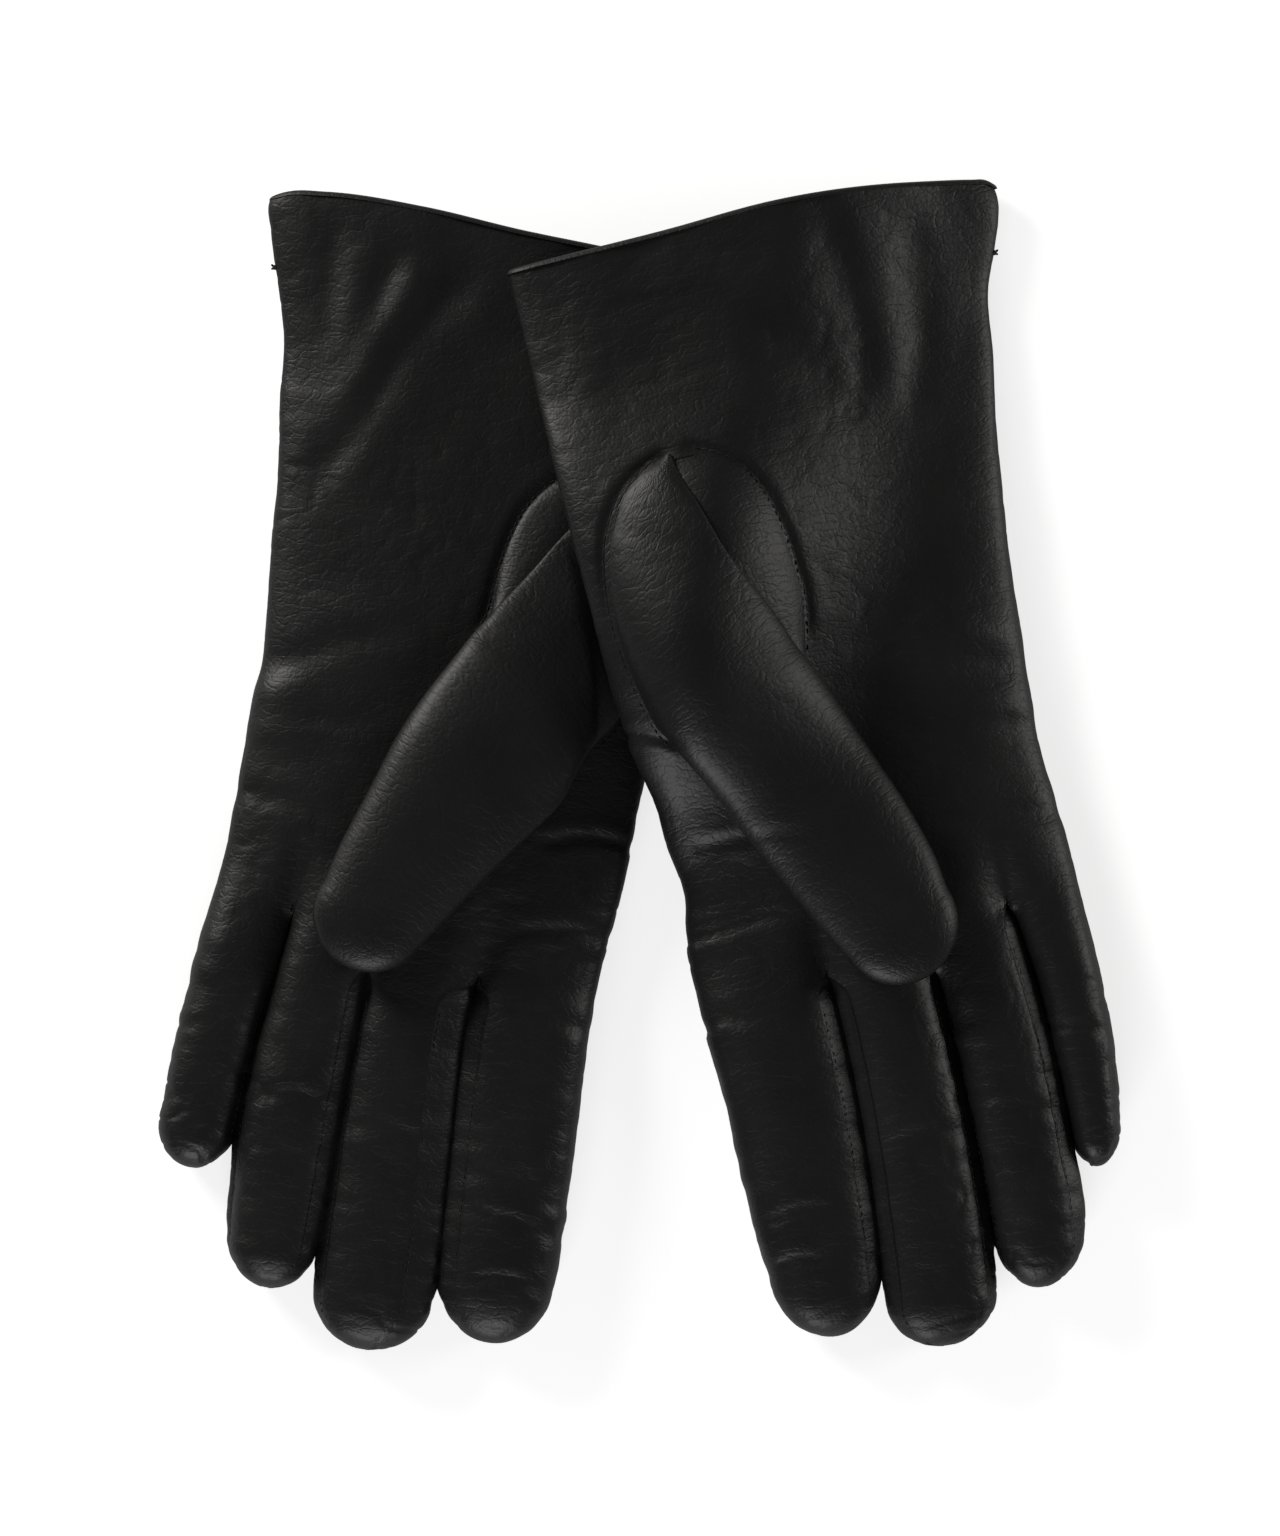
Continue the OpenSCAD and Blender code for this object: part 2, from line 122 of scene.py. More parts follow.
LEFT = {
    "name": "left", "side": -1,
    "radial": [(-60, -48), (-38, -48.3), (-20, -49.8), (0, -51), (25, -53), (50, -55), (85, -57.7),
               (132, -61)],
    "ulnar": [(-60, 51), (-30, 48), (-10, 47.5), (18, 46.8), (46, 49), (66, 50.5), (82, 53), (100, 55.5),
              (111, 58.6), (117, 60.6), (124, 62.2), (130, 63.5), (136, 62)],
    "cuff": [(-1, 129), (-0.35, 131.5), (0, 132.3), (0.4, 134), (0.8, 133.8), (0.94, 132.6), (1, 131)],
    "forks": [(-0.4, -51), (0.152, -51.5), (0.585, -40.5)],
    "fingers": [
        (-137, 13, [(-137, -48), (-115, -49.7), (-95, -49.3), (-70, -48.3), (-56, -48), (-40, -48.5)],
         [(-137, -23), (-115, -20.6), (-90, -18.9), (-70, -17.9), (-60, -17.6), (-48, -18.9)], 180, 52),
        (-144, 12, [(-144, -19), (-125, -20.3), (-115, -20.2), (-90, -18.6), (-70, -17.4),
                    (-60, -17.2), (-48, -18.7)],
         [(-144, 7.5), (-115, 8.8), (-90, 9), (-60, 8.6), (-48, 8.2)], 112, 35),
        (-133, 11, [(-133, 10.5), (-110, 9.4), (-90, 9.2), (-60, 8.8), (-48, 8.3)],
         [(-133, 30), (-118, 31.8), (-100, 33.2), (-80, 32.8), (-56, 30.4), (-40, 28.6)], 129, 20),
        (-107, 9, [(-107, 35.5), (-90, 34.2), (-75, 33.3), (-60, 31.6), (-46, 29.4), (-38, 28.7)],
         [(-107, 51.5), (-95, 53.1), (-80, 52.8), (-60, 51.3), (-44, 49.8), (-36, 49)], 165, 0),
    ],
    "thumb_left": [(-29, 79), (-35, 77), (-41, 72), (-46.5, 63), (-48.5, 52), (-48, 40), (-45.5, 28),
                   (-42, 18), (-36.5, 10), (-32, -3), (-26.5, -11), (-19.5, -20.5), (-11.5, -32),
                   (-3.5, -44)],
    "thumb_right": [(-27.5, 78.5), (-26.5, 73), (-24, 65.5), (-20, 59), (-16, 52.5), (-12, 46.5),
                    (-8.5, 41.5), (-4.5, 35.5), (-1.5, 30), (5.5, 17), (10.5, 5.5), (15, -8.5),
                    (19.5, -22), (22, -31.5)],
    "gusset": [(-23, 78), (-18, 74.4), (-13.3, 69), (-10.8, 64), (-9.2, 59), (-8.2, 54), (-7.5, 49),
               (-7, 43), (-6.4, 38), (-4, 33)],
    "thumb_end": (9, -38), "thumb_r": 14.0, "tack_y": 115,
    "puffs": [(41, 8, 8, 7, 1.2), (34, 92, 5, 14, 1.0), (26, 108, 5, 12, 0.8), (20, 30, 14, 10, 0.8)],
    "creases": [(-50, -12, -30, -14, 1.1, 2), (-48, -34, -26, -36, 0.9, 2.2), (-46, -58, -28, -56, 0.8, 2),
                (-49, -108, -28, -105, 0.7, 2), (-46, -120, -30, -121, 0.6, 1.8), (14, 118, 40, 66, 1.4, 5),
                (30, 122, 36, 92, 1.2, 4.5), (46, 128, 42, 100, 0.9, 4), (14, 30, 45, 18, 0.8, 4),
                (20, 8, 46, 6, 0.8, 3.5), (24, -16, 47, -14, 0.7, 3), (-14, -92, 6, -90, 0.6, 1.8),
                (12, -84, 30, -88, 0.5, 1.8), (35, -70, 51, -72, 0.5, 1.6)],
}


def smooth(t):
    """Eases from 0 to 1 as t does, level beyond both ends."""
    u = np.clip(t, 0, 1)
    return u * u * (3 - 2 * u)


def curve(table, x):
    """Smooth curve through (x, value) points, level beyond both ends."""
    xs = np.array([p[0] for p in table], float)
    vs = np.array([p[1] for p in table], float)
    slopes = np.gradient(vs, xs)
    x = np.clip(x, xs[0], xs[-1])
    i = np.clip(np.searchsorted(xs, x) - 1, 0, len(xs) - 2)
    h = xs[i + 1] - xs[i]
    t = (x - xs[i]) / h
    a = (1 + 2 * t) * (1 - t) ** 2 * vs[i] + t * (1 - t) ** 2 * h * slopes[i]
    return a + t * t * (3 - 2 * t) * vs[i + 1] + t * t * (t - 1) * h * slopes[i + 1]


def path(points, q):
    """Smooth path through plan points, q from 0 to 1 at even steps from point to point."""
    steps = np.linspace(0, 1, len(points))
    return np.stack([curve(list(zip(steps, [p[k] for p in points])), q) for k in (0, 1)], -1)


LATTICE = np.random.default_rng(7).random((32, 32, 32))


def noise(p, size, shift=0.0):
    """Smooth random values from -1 to 1 at points p, in bumps of about size along each axis."""
    g = p / np.array(size) + shift
    i = np.floor(g).astype(int)
    f = g - i
    f = f * f * (3 - 2 * f)
    total = 0
    for corner in range(8):
        d = [(corner >> k) & 1 for k in range(3)]
        w = 1
        for k in range(3):
            w = w * (f[..., k] if d[k] else 1 - f[..., k])
        cell = tuple((i[..., k] + d[k]) % 32 for k in range(3))
        total = total + w * LATTICE[cell]
    return total * 2 - 1


def ridged(p, size, shift=0.0):
    """Thin random creases: 1 in a crease and 0 away from it."""
    return np.clip(1 - np.abs(noise(p, size, shift)) * 5, 0, 1) ** 2


def lift(x, y):
    """Height that the left glove raises the right one by at a place in the pair."""
    edge = 0.3 + (y + 8.4) * 0.246
    return curve(STACK, y) * (1 - smooth((x - edge + 4) / DRAPE))


def world(glove, p):
    """Points of a glove's own frame in the pair's frame."""
    c, s = math.cos(SPLAY), math.sin(SPLAY)
    x = SPREAD + c * p[..., 0] - s * p[..., 1]
    y = s * p[..., 0] + c * p[..., 1]
    z = p[..., 2] + (lift(x, y) if glove["side"] > 0 else 0)
    return np.stack([glove["side"] * x, y, z], -1)


def dome(a, n=2.4):
    """Height of a rounded dome at a share of its half width."""
    return np.maximum(0, 1 - np.abs(a) ** n) ** (1 / n)


def hand_surface(glove, a, y, top):
    """Point on the hand at a share of its half width: the palm is domed and the back lies flat."""
    xl = curve(glove["radial"], y)
    xr = curve(glove["ulnar"], y)
    x = (xl + xr) / 2 + (xr - xl) / 2 * a
    h = curve(HAND_HEIGHT, y)
    mid = 0.42 * h
    valley = 0
    for share, fork_y in glove["forks"]:
        away = (a - share) * (xr - xl) / 2
        valley = valley + np.exp(-(away / 4.5) ** 2) * smooth((fork_y + 26 - y) / 26)
    up = mid + (h - mid) * dome(a) - 2.4 * valley
    down = mid - mid * dome(np.maximum(0, (np.abs(a) - 0.55) / 0.45)) + 1.2 * valley
    return np.stack([x, y, up if top else down], -1)


def palm_z(glove, x, y):
    """Height of the palm at a plan point of a glove."""
    xl = curve(glove["radial"], y)
    xr = curve(glove["ulnar"], y)
    a = np.clip((2 * x - xl - xr) / (xr - xl), -1, 1)
    return hand_surface(glove, a, y, True)[..., 2]


def finger_surface(glove, i, angle, y):
    """Point on a finger at an angle round it, 0 towards the little finger and 90 on the palm side."""
    tip, r, left, right = glove["fingers"][i][:4]
    full = np.sqrt(np.maximum(0, 1 - (np.maximum(0, tip + r - y) / r) ** 2))
    xl = curve(left, y)
    xr = curve(right, y)
    h = 15.0 if i == 3 else 16.0
    height = full ** 0.8
    zc = 0.45 * h
    c = np.cos(np.radians(angle))
    s = np.sin(np.radians(angle))
    n = 2 / 2.5
    x = (xl + xr) / 2 + (xr - xl) / 2 * full * np.sign(c) * np.abs(c) ** n
    z = zc + np.where(s > 0, h - zc, zc) * height * np.sign(s) * np.abs(s) ** n
    return np.stack([x, y + 0 * x, z], -1)


def arch(glove, k, y):
    """How far the fork between fingers k and k + 1 has opened at y: 0 above it, 1 well below it."""
    d = np.clip((glove["forks"][k][1] - y) / 6.5, 0, 1)
    return np.sqrt(1 - (1 - d) ** 2)


def shares(glove, i):
    forks = [f[0] for f in glove["forks"]]
    return ([-1] + forks)[i], (forks + [1])[i]


def eased(i, t):
    """Spreads finger i's columns so that they are closer together at the glove's two side edges."""
    if i == 0:
        return 1 - np.cos(t * math.pi / 2)
    if i == 3:
        return np.sin(t * math.pi / 2)
    return t


def glove_point(glove, i, t, y, top):
    """Point on the palm or back leather in finger i's columns, t from its thumb side to its outer side."""
    a0, a1 = shares(glove, i)
    seam_l, seam_r = glove["fingers"][i][4:6]
    if top:
        angle = seam_l + (seam_r - seam_l) * t
    else:
        back_l = 180 if i == 0 else 210
        back_r = 360 if i == 3 else 330
        angle = back_l + (back_r - back_l) * t
    hand = hand_surface(glove, a0 + (a1 - a0) * eased(i, t), y, top)
    finger = finger_surface(glove, i, angle, y)
    left = arch(glove, i - 1, y) if i > 0 else smooth((glove["forks"][0][1] + 12 - y) / 26)
    right = arch(glove, i, y) if i < 3 else smooth((glove["forks"][2][1] + 12 - y) / 26)
    near = max(i - 1, 0)
    far = min(i, 2)
    middle_y = glove["forks"][near][1] * (1 - t) + glove["forks"][far][1] * t
    middle = smooth((middle_y + 12 - y) / 26)
    wl = np.clip(1 - 2.4 * t, 0, 1) ** 2
    wr = np.clip(2.4 * t - 1.4, 0, 1) ** 2
    w = left * wl + right * wr + middle * (1 - wl - wr)
    return hand + (finger - hand) * w[..., None]


def side_point(glove, i, outer, u, y):
    """Point on a finger's side strip, u from the palm seam to the back seam."""
    k = i if outer else i - 1
    share = glove["forks"][k][0] + 0 * y
    top = hand_surface(glove, share, y, True)
    web = top + (hand_surface(glove, share, y, False) - top) * u[..., None]
    seam_l, seam_r = glove["fingers"][i][4:6]
    if outer:
        angle = seam_r + (-30 - seam_r) * u
    else:
        angle = seam_l + (210 - seam_l) * u
    finger = finger_surface(glove, i, angle, y)
    tip, r = glove["fingers"][i][:2]
    near_tip = smooth((y - tip) / (2 * r))
    out = 1 if outer else -1
    # the strip is hollow just under the seam and meets the next finger lower down
    shape = 0.6 * np.sin(math.pi * u) ** 2 - 1.1 * np.exp(-((u - 0.16) / 0.13) ** 2)
    finger[..., 0] += out * near_tip * shape
    point = web + (finger - web) * arch(glove, k, y)[..., None]
    point[..., 0] += out * near_tip * 0.6 * np.sin(math.pi * u) ** 2
    return point


def cut_y(glove, a):
    """Where the fingers' pieces begin, just on the hand's side of the forks."""
    f = glove["forks"]
    return np.interp(a, [-1, f[0][0], f[1][0], f[2][0], 1], [-47, -48, -48, -38, -36])


class Skin:
    """Grids of points welded into one surface, each face belonging to a named piece."""

    def __init__(self):
        self.points = []
        self.faces = []
        self.names = []
        self.uvs = []
        self.groups = []
        self.count = 0

    def add(self, grid, names, uv, flip=False, skip=None):
        rows, cols = grid.shape[:2]
        index = np.arange(rows * cols).reshape(rows, cols) + self.count
        quads = np.stack([index[:-1, :-1], index[:-1, 1:], index[1:, 1:], index[1:, :-1]], -1)
        keep = np.ones((rows - 1, cols - 1), bool) if skip is None else ~skip
        quads = quads[keep]
        if flip:
            quads = quads[:, ::-1]
        self.points.append(grid.reshape(-1, 3))
        self.uvs.append(uv.reshape(-1, 2))
        self.groups.append(np.full(rows * cols, 1 if "fourchette" in names else 0))
        self.faces.append(quads)
        self.names += [names] * len(quads)
        self.count += rows * cols

    def weld(self):
        p = np.concatenate(self.points)
        group = np.concatenate(self.groups)
        key = np.column_stack([np.round(p * 200).astype(np.int64), group])
        _, first, inverse = np.unique(key, axis=0, return_index=True, return_inverse=True)
        self.p = p[first]
        self.group = group[first]
        self.uv = np.concatenate(self.uvs)[first]
        self.f = inverse.reshape(-1)[np.concatenate(self.faces)]
        self.names = np.array(self.names)
        self.normals()

    def normals(self):
        q = self.p[self.f]
        cross = np.cross(q[:, 2] - q[:, 0], q[:, 3] - q[:, 1])
        n = np.zeros_like(self.p)
        for k in range(4):
            np.add.at(n, self.f[:, k], cross)
        self.n = n / np.maximum(1e-9, np.linalg.norm(n, axis=1, keepdims=True))


def crease_field(glove, p):
    """Depth of the main creases at plan points of a glove."""
    depth = 0
    for x0, y0, x1, y1, deep, wide in glove["creases"]:
        line = np.array([x1 - x0, y1 - y0])
        length = np.linalg.norm(line)
        rel = p[..., :2] - np.array([x0, y0])
        s = rel @ line / length ** 2
        across = (rel[..., 0] * line[1] - rel[..., 1] * line[0]) / length
        across = across + 1.6 * noise(p, (14, 14, 60), x0 * 0.1) + 1.5 * np.sin(s * 3)
        end = smooth((s + 0.18) / 0.3) * smooth((1.18 - s) / 0.3)
        e = (across / wide) ** 2
        depth = depth + deep * end * (np.exp(-e) - 0.55 * np.exp(-e / 5))
    return depth


def thumb_seam(glove):
    """Plan points of the seam around the thumb, up its near side and down its far side."""
    near = path(glove["thumb_left"][:9], np.linspace(1, 0, 60)) - 0.9 * THUMB_SIDE
    far = path(glove["gusset"], np.linspace(0, 1, 60)) + 0.7 * THUMB_SIDE
    return near, far


def seam_groove(glove, p):
    """Depth of the groove in the palm where the thumb is sewn in."""
    near, far = thumb_seam(glove)
    rise = np.linspace(0, 1, len(near))
    deep = np.concatenate([smooth((rise - 0.3) / 0.3), smooth((1 - rise) / 0.15)])
    depth = np.zeros(p.shape[:-1])
    for (x, y), share in zip(np.concatenate([near, far]), deep):
        away = (p[..., 0] - x) ** 2 + (p[..., 1] - y) ** 2
        depth = np.maximum(depth, share * np.exp(-away / GROOVE_WIDE ** 2))
    return GROOVE_DEEP * depth


def puffs(glove, p):
    """Height of the places where the leather stands up in a soft cushion."""
    height = 0
    for x, y, wide, long, high in glove["puffs"]:
        away = ((p[..., 0] - x) / wide) ** 2 + ((p[..., 1] - y) / long) ** 2
        height = height + high * np.exp(-away)
    return height


def wrinkle(glove, p, back):
    """Height to add along the surface for folds, soft swells and fine creases."""
    q = p + np.array([0, 0, 40 if glove["side"] > 0 else 0])
    finger = smooth((-46 - p[..., 1]) / 16)
    cuff = smooth((p[..., 1] - 60) / 40)
    swell = 0.5 * noise(q, (30, 26, 40)) + 0.16 * noise(q, (13, 11, 30), 5.3)
    soft = swell * (1 - 0.35 * finger) + 0.4 * cuff * noise(q, (11, 42, 30), 2.7)
    soft = soft + puffs(glove, p)
    across = 0.17 * noise(q, (15, 4.2, 24), 1.7) + 0.1 * noise(q, (9, 2.4, 16), 3.1)
    fine = -0.24 * ridged(q, (10, 4.6, 18), 8.4) - 0.15 * ridged(q, (5, 7, 14), 11.2)
    patch = smooth(noise(q, (26, 26, 50), 6.6) * 1.3 + 0.35)
    across = across * (0.35 + 0.95 * finger)
    fine = fine * (0.3 + 0.7 * patch) * (1 + 0.45 * finger)
    height = soft + across + fine - crease_field(glove, p) - seam_groove(glove, p)
    return height * np.where(back, 0.35, 1.0)


def build_hand(glove):
    """The hand and its four fingers as one welded skin, before it is placed in the world."""
    skin = Skin()
    cuff_rows = np.linspace(0, 1, 170)
    for i in range(4):
        t = np.linspace(0, 1, COLUMNS[i])
        a0, a1 = shares(glove, i)
        a = a0 + (a1 - a0) * eased(i, t)
        start = curve(glove["cuff"], a)
        cut = cut_y(glove, a)
        tip = glove["fingers"][i][0]
        steps = 1 - (1 - np.linspace(0, 1, 92)) ** 1.5
        for top in (True, False):
            y = start[None] + (cut - start)[None] * cuff_rows[:, None]
            grid = glove_point(glove, i, np.broadcast_to(t, y.shape), y, top)
            skin.add(grid, "hand_leather", plan_uv(grid), flip=top)
            y = cut[None] + (tip - cut)[None] * steps[:, None]
            grid = glove_point(glove, i, np.broadcast_to(t, y.shape), y, top)
            leaf = "index_leather" if i == 0 else f"{FINGERS[i]}_{'palm' if top else 'back'}_leaf"
            skin.add(grid, leaf, plan_uv(grid), flip=top)
        for outer in (False, True):
            if (i == 0 and not outer) or (i == 3 and outer):
                continue
            u = np.linspace(0, 1, 13)
            first = cut[-1] if outer else cut[0]
            y = first + (tip - first) * np.broadcast_to(steps[:, None], (92, 13))
            grid = side_point(glove, i, outer, np.broadcast_to(u, y.shape), y)
            fork = glove["forks"][i if outer else i - 1][1]
            skip = y[1:, :-1] > fork + 1.2
            word = "outer" if outer else "inner"
            name = f"{FINGERS[i]}_fourchette" if i in (0, 3) else f"{FINGERS[i]}_{word}_fourchette"
            skin.add(grid, name, plan_uv(grid), flip=outer, skip=skip)
    skin.weld()
    skin.back = skin.n[:, 2] < -0.3
    return skin


def plan_uv(grid):
    """Distances over the leather: across from the first column, and along the glove."""
    step = np.linalg.norm(np.diff(grid[..., (0, 2)], axis=1), axis=-1)
    across = np.concatenate([np.zeros((len(grid), 1)), np.cumsum(step, 1)], 1) + grid[:, :1, 0]
    return np.stack([across, grid[..., 1]], -1)


def ceiling(glove, p):
    """Height left for the left glove's thumb under the right glove."""
    w = world(glove, p)
    inside = w[..., 0] - (-1.7 - 0.26 * w[..., 1])
    room = lift(w[..., 0], w[..., 1]) - 1.0 + 5 * (1 - smooth(inside / 6)) + 1.5 * np.maximum(0, -inside)
    return np.where(glove["side"] > 0, 100, room)


def build_thumb(glove):
    """The thumb from the top of its seam, over its root and its fold, to its rounded end."""
    skin = Skin()
    q = np.concatenate([np.linspace(0, 0.05, 6)[:-1], np.linspace(0.05, 1, 125)])
    left = path(glove["thumb_left"], q)
    right = path(glove["thumb_right"], q)
    turn = np.radians(np.linspace(0, 90, 24))[1:]
    centre = (left[-1] + right[-1]) / 2
    half = (right[-1] - left[-1]) / 2
    reach = glove["thumb_r"] * np.sin(turn)[:, None] * THUMB_DIR
    left = np.concatenate([left, centre + reach - half * np.cos(turn)[:, None]])
    right = np.concatenate([right, centre + reach + half * np.cos(turn)[:, None]])
    q = np.concatenate([q, np.ones(len(turn))])
    cap = np.concatenate([np.ones(len(q) - len(turn)), np.cos(turn) ** 0.75])
    angle = np.linspace(180, -180, 81)
    c = np.cos(np.radians(angle))
    s = np.sin(np.radians(angle))
    n = 2 / 2.4
    across = (1 + np.sign(c) * np.abs(c) ** n) / 2
    xy = left[:, None] + (right - left)[:, None] * across[None, :, None]
    base = palm_z(glove, xy[..., 0], xy[..., 1])
    free_l = smooth((q - 0.5) / 0.14)[:, None]
    free_r = smooth((q - 0.03) / 0.25)[:, None]
    free = free_l * (1 - across) + free_r * across
    floor = base * (1 - free) + (PALM_H + 0.6) * free - 0.35 * (1 - free)
    top = TOP_AT_THUMB - 1.2 * smooth((q - 0.75) / 0.25)[:, None]
    flat = np.concatenate([xy, 0 * xy[..., :1]], -1)
    top = np.minimum(top, ceiling(glove, flat))
    rise = (top - floor) * smooth(q * 1.28 + 0.02)[:, None] ** 1.3
    rise = np.maximum(rise, 2.2)
    middle = floor + rise * (0.42 * free + 0.04)
    bulge = np.abs(s) ** n
    slope = (4 * across * (1 - across)) ** 0.55 * (0.8 + 0.4 * across)
    held = smooth((0.56 - q) / 0.22)[:, None] * (1 - smooth((across - 0.55) / 0.4))
    arched = bulge * (1 - held) + slope * held
    end = cap[:, None]
    z_up = middle + (floor + rise - middle) * arched * end
    z_down = middle - (middle - floor) * bulge * end
    z = np.where(s > 0, z_up, z_down)
    grid = np.concatenate([xy, z[..., None]], -1)
    along = (grid[..., :2] - np.array(glove["thumb_end"])) @ THUMB_DIR
    fold_row = int(np.argmin(np.abs(along.mean(1) + THUMB_REACH + 3)))
    uv = np.stack([np.broadcast_to(np.cumsum(np.abs(np.gradient(across))) * 34, z.shape), along], -1)
    skin.add(grid[: fold_row + 1], "thumb_root", uv[: fold_row + 1], flip=True)
    skin.add(grid[fold_row:], "thumb_leather", uv[fold_row:], flip=True)
    skin.weld()
    skin.back = skin.n[:, 2] < -0.3
    return skin


def build_gusset(glove):
    """The small lobe of leather between the thumb's crease and the far side of its seam."""
    q = np.linspace(0, 1, 70)
    under = path(glove["thumb_right"], q * 8 / 13) - 2.2 * THUMB_SIDE
    seam = path(glove["gusset"], q)
    u = np.linspace(0, 1, 22)
    xy = under[:, None] + (seam - under)[:, None] * u[None, :, None]
    base = palm_z(glove, xy[..., 0], xy[..., 1])
    puff = np.sin(np.pi * u) ** 0.8 * 1.1 + 2.0 * (1 - u) ** 2 * smooth(q * 2)[:, None]
    z = base - 0.35 + 0.2 * (1 - u) + puff * smooth(q * 5 + 0.1)[:, None]
    flat = np.concatenate([xy, 0 * xy[..., :1]], -1)
    z = np.minimum(z, ceiling(glove, flat))
    skin = Skin()
    grid = np.concatenate([xy, z[..., None]], -1)
    skin.add(grid, "thumb_gusset", plan_uv(grid), flip=True)
    skin.weld()
    skin.back = skin.n[:, 2] < -2
    return skin


def cut_thumb_hole(glove, skin):
    """Removes the palm leather inside the thumb's seam, where the thumb's own leather takes its place."""
    outline = np.array(glove["thumb_left"][:9] + glove["gusset"][::-1], float)
    middle = outline.mean(0)
    inward = middle - outline
    outline = outline + HOLE_INSET * inward / np.linalg.norm(inward, axis=1, keepdims=True)
    centre = skin.p[skin.f].mean(1)
    inside = np.zeros(len(centre), bool)
    for (x0, y0), (x1, y1) in zip(outline, np.roll(outline, -1, 0)):
        if y0 == y1:
            continue
        crosses = (y0 > centre[:, 1]) != (y1 > centre[:, 1])
        at = x0 + (centre[:, 1] - y0) * (x1 - x0) / (y1 - y0)
        inside ^= crosses & (centre[:, 0] < at)
    gone = inside & (centre[:, 2] > 8) & (skin.names == "hand_leather")
    skin.f = skin.f[~gone]
    skin.names = skin.names[~gone]


def dent_seams(skin):
    """Turns the leather in along the fingers' seams, so that each shows as a fine groove."""
    key = np.round(skin.p * 200).astype(np.int64)
    _, inverse, count = np.unique(key, axis=0, return_inverse=True, return_counts=True)
    seam = count[inverse.reshape(-1)] > 1
    skin.p[seam] -= skin.n[seam] * SEAM_DENT


def finish_skin(glove, skin, strength=1.0):
    """Adds wrinkles and places the skin in the world."""
    skin.normals()
    height = wrinkle(glove, skin.p, skin.back) * strength
    edge = smooth((skin.p[:, 2] - 1.0) / 3)
    skin.local = skin.p.copy()
    skin.p = skin.p + skin.n * (height * edge)[:, None]
    skin.p[:, 2] = np.maximum(skin.p[:, 2], 0.15)
    skin.p = world(glove, skin.p)
    if glove["side"] < 0:
        skin.f = skin.f[:, ::-1]
    skin.normals()


def mesh_piece(name, points, faces, normals, uv, material):
    """A smooth mesh object from points in millimetres, with its own normals and its leather coordinates."""
    mesh = bpy.data.meshes.new(name)
    mesh.from_pydata((points * 0.001).tolist(), [], faces.tolist())
    mesh.polygons.foreach_set("use_smooth", [True] * len(faces))
    if uv is not None:
        layer = mesh.uv_layers.new(name="leather")
        layer.data.foreach_set("uv", (uv[faces.reshape(-1)] * 0.001).astype(np.float32).ravel())
    mesh.materials.append(material)
    mesh.validate()
    if normals is not None and len(mesh.polygons) == len(faces):
        mesh.normals_split_custom_set(normals[faces.reshape(-1)].tolist())
    obj = bpy.data.objects.new(name, mesh)
    bpy.context.scene.collection.objects.link(obj)
    return obj


def leather_piece(skin, part, name, thickness, material, depth=0.0):
    """One piece of a skin as leather of real thickness, with its cut edges closed."""
    faces = skin.f[np.isin(skin.names, part)]
    used, inverse = np.unique(faces, return_inverse=True)
    faces = inverse.reshape(-1, 4)
    p = skin.p[used] - skin.n[used] * depth
    n = skin.n[used]
    count = len(used)
    edges = np.concatenate([faces[:, [k, (k + 1) % 4]] for k in range(4)])
    code = edges[:, 0] * count + edges[:, 1]
    back = edges[:, 1] * count + edges[:, 0]
    rim = edges[~np.isin(code, back) & (edges[:, 0] != edges[:, 1])]
    inner = faces[:, ::-1] + count
    walls = np.stack([rim[:, 1], rim[:, 0], rim[:, 0] + count, rim[:, 1] + count], -1)
    points = np.concatenate([p, p - n * thickness])
    normals = np.concatenate([n, -n])
    uv = np.concatenate([skin.uv[used]] * 2)
    every = np.concatenate([faces, inner, walls])
    whole = np.array([len(set(f)) == 4 for f in every.tolist()])
    quads = every[whole]
    thirds = [list(dict.fromkeys(f)) for f in every[~whole].tolist()]
    thirds = [f for f in thirds if len(f) == 3]
    mesh = bpy.data.meshes.new(name)
    all_faces = quads.tolist() + thirds
    mesh.from_pydata((points * 0.001).tolist(), [], all_faces)
    mesh.polygons.foreach_set("use_smooth", [True] * len(all_faces))
    flat = np.concatenate([quads.reshape(-1), np.array(thirds, int).reshape(-1)])
    layer = mesh.uv_layers.new(name="leather")
    layer.data.foreach_set("uv", (uv[flat] * 0.001).astype(np.float32).ravel())
    mesh.materials.append(material)
    mesh.normals_split_custom_set(normals[flat].tolist())
    obj = bpy.data.objects.new(name, mesh)
    bpy.context.scene.collection.objects.link(obj)
    return obj


def capsule(a, b, radius, sides=6):
    """Points and faces of a short rounded stitch between two points."""
    axis = b - a
    length = np.linalg.norm(axis)
    axis = axis / length
    u = np.cross(axis, [0.3, 0.2, 1])
    u = u / np.linalg.norm(u)
    v = np.cross(axis, u)
    rings = [(0, 0.25), (0.12, 0.8), (0.3, 1), (0.7, 1), (0.88, 0.8), (1, 0.25)]
    angle = np.arange(sides) * 2 * math.pi / sides
    ring = np.cos(angle)[:, None] * u + np.sin(angle)[:, None] * v
    points = np.concatenate([a + axis * length * s + ring * radius * r for s, r in rings])
    faces = []
    for j in range(len(rings) - 1):
        for k in range(sides):
            m = (k + 1) % sides
            faces.append([j * sides + k, j * sides + m, (j + 1) * sides + m, (j + 1) * sides + k])
    return points, np.array(faces)


